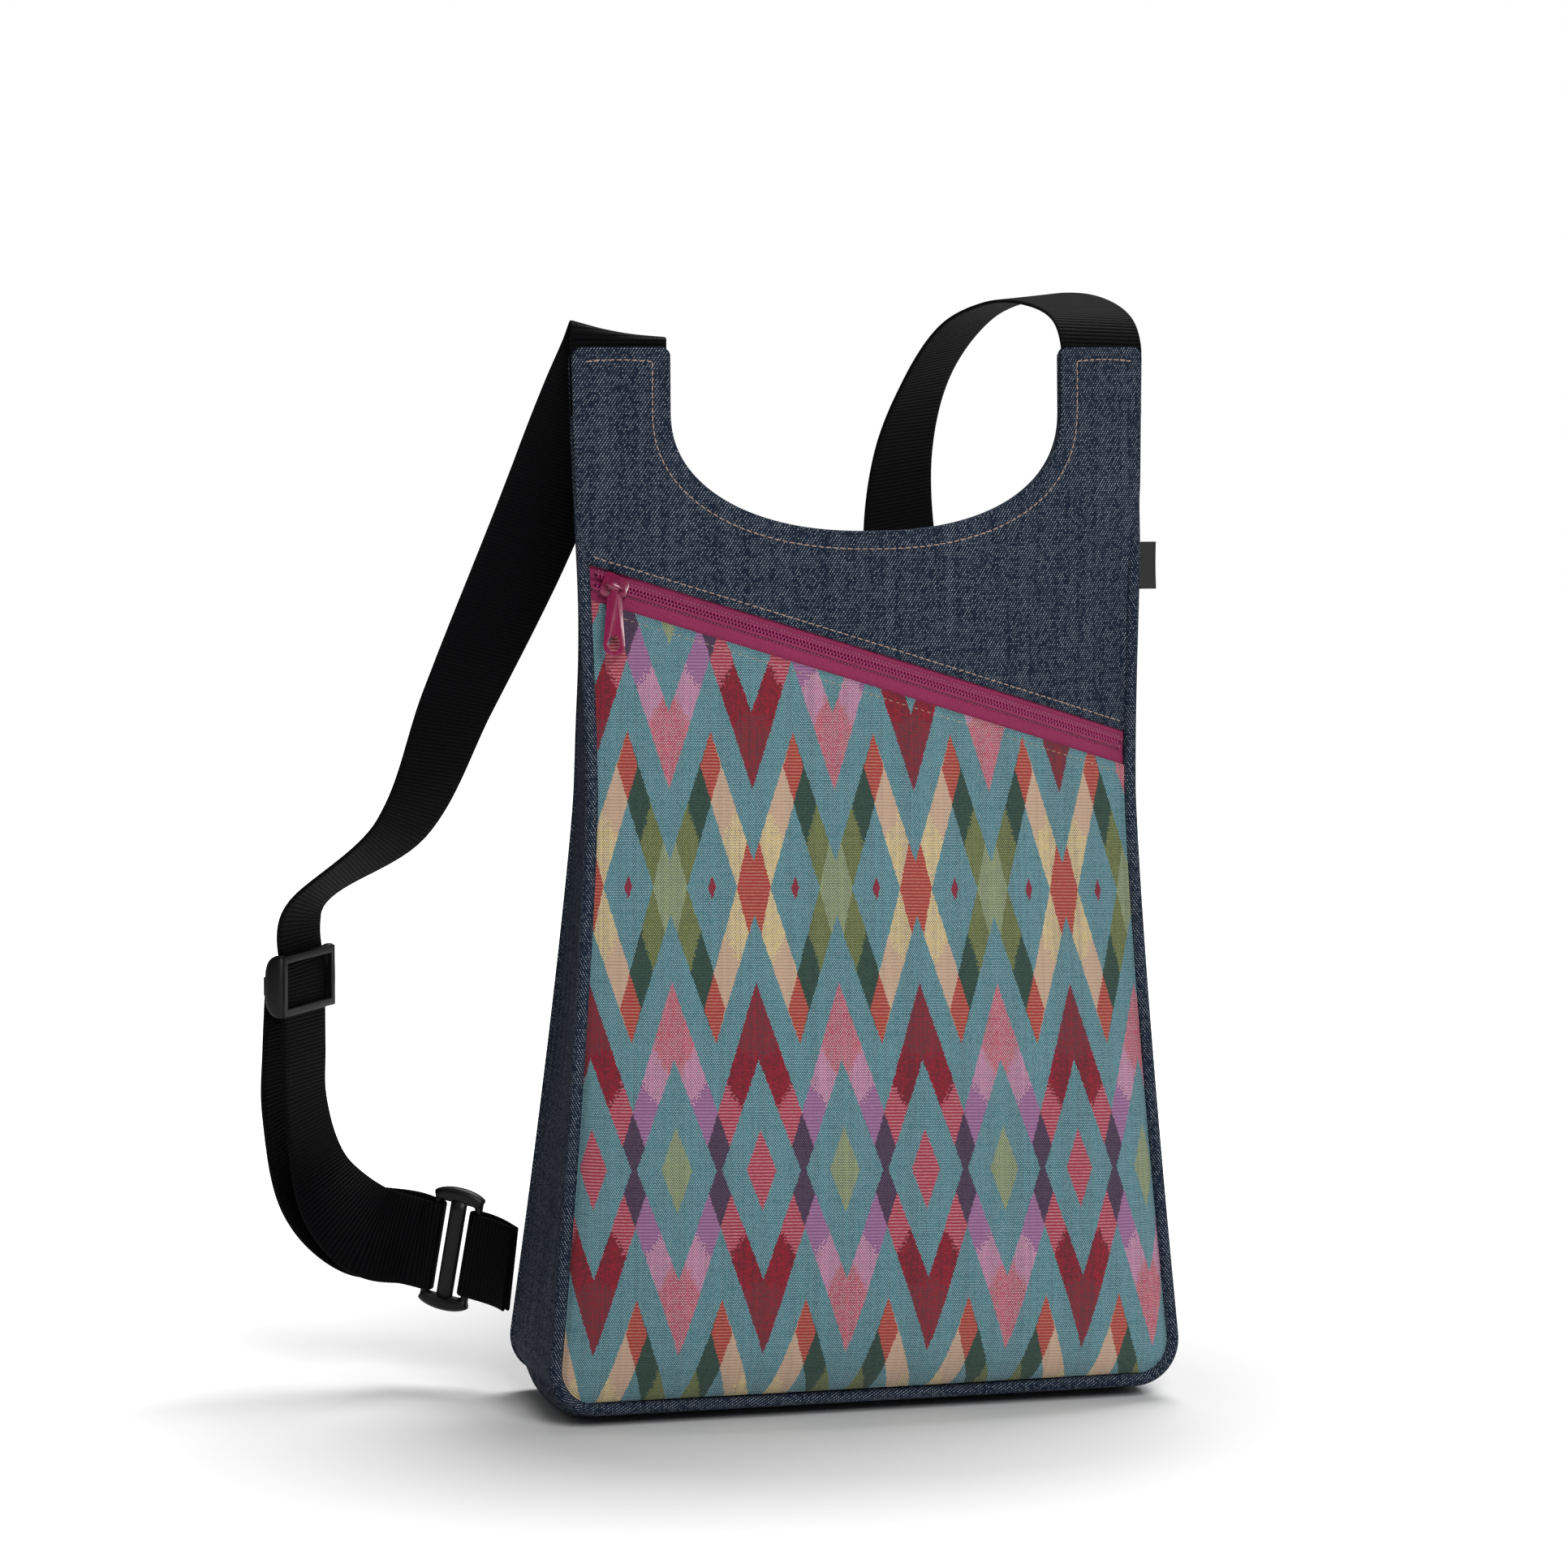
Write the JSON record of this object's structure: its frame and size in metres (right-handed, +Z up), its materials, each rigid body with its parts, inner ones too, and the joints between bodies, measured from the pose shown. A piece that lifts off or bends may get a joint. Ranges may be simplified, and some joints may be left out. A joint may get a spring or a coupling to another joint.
{
  "type": "backpack",
  "caption": "Small soft backpack with shoulder tabs over a wide neck, a slanted zip across the front, a geometric woven lower panel and webbing straps.",
  "frame": {"origin": "on the floor under the middle of the bag's flat bottom, where the mount base is", "axes": "+Z up along the bag, -Y towards the patterned front, +X to the viewer's right"},
  "size_m": [0.3882, 0.1987, 0.4724],
  "materials": {
    "denim": "dark blue twill, matt",
    "jacquard": "woven geometric pattern, matt",
    "zip_tape": "magenta woven tape and coil",
    "zip_metal": "magenta gloss paint",
    "webbing": "black ribbed webbing",
    "plastic": "black moulded, satin"
  },
  "bodies": {
    "bag": {"front_panel": "jacquard", "front_yoke": "denim", "back_panel": "denim", "gusset": "denim", "front_piping": "denim", "zip_tape_upper": "zip_tape", "zip_tape_lower": "zip_tape", "zip_teeth_upper": "zip_tape", "zip_teeth_lower": "zip_tape", "side_label": "webbing", "strap_left": "webbing", "strap_right": "webbing", "loop_left": "plastic", "loop_right": "plastic", "anchor_left": "webbing", "anchor_right": "webbing"},
    "slider": {"zip_slider": "zip_metal"},
    "pull": {"zip_pull": "zip_metal"},
    "left_adjuster": {"adjuster_left": "plastic"},
    "right_adjuster": {"adjuster_right": "plastic"}
  },
  "joints": [
    {"name": "zip_slide", "type": "hinge", "parent": "bag", "child": "slider", "pos_m": [0.00258, 0.31204, 0.31619], "axis": [0.3004, 0, 0.9538], "range_deg": [0, 35.5], "deforming": ["zip_teeth_upper", "zip_teeth_lower"]},
    {"name": "pull_swing", "type": "hinge", "parent": "slider", "child": "pull", "pos_m": [-0.10852, -0.04141, 0.35118], "axis": [-0.9059, 0.313, 0.2853], "range_deg": [0, 150]},
    {"name": "adjuster_slide_left", "type": "slide", "parent": "bag", "child": "left_adjuster", "axis": [0, 0, -1], "range_m": [-0.03, 0.02], "deforming": ["strap_left"]},
    {"name": "adjuster_slide_right", "type": "slide", "parent": "bag", "child": "right_adjuster", "axis": [0, 0, -1], "range_m": [-0.03, 0.02], "deforming": ["strap_right"]}
  ]
}
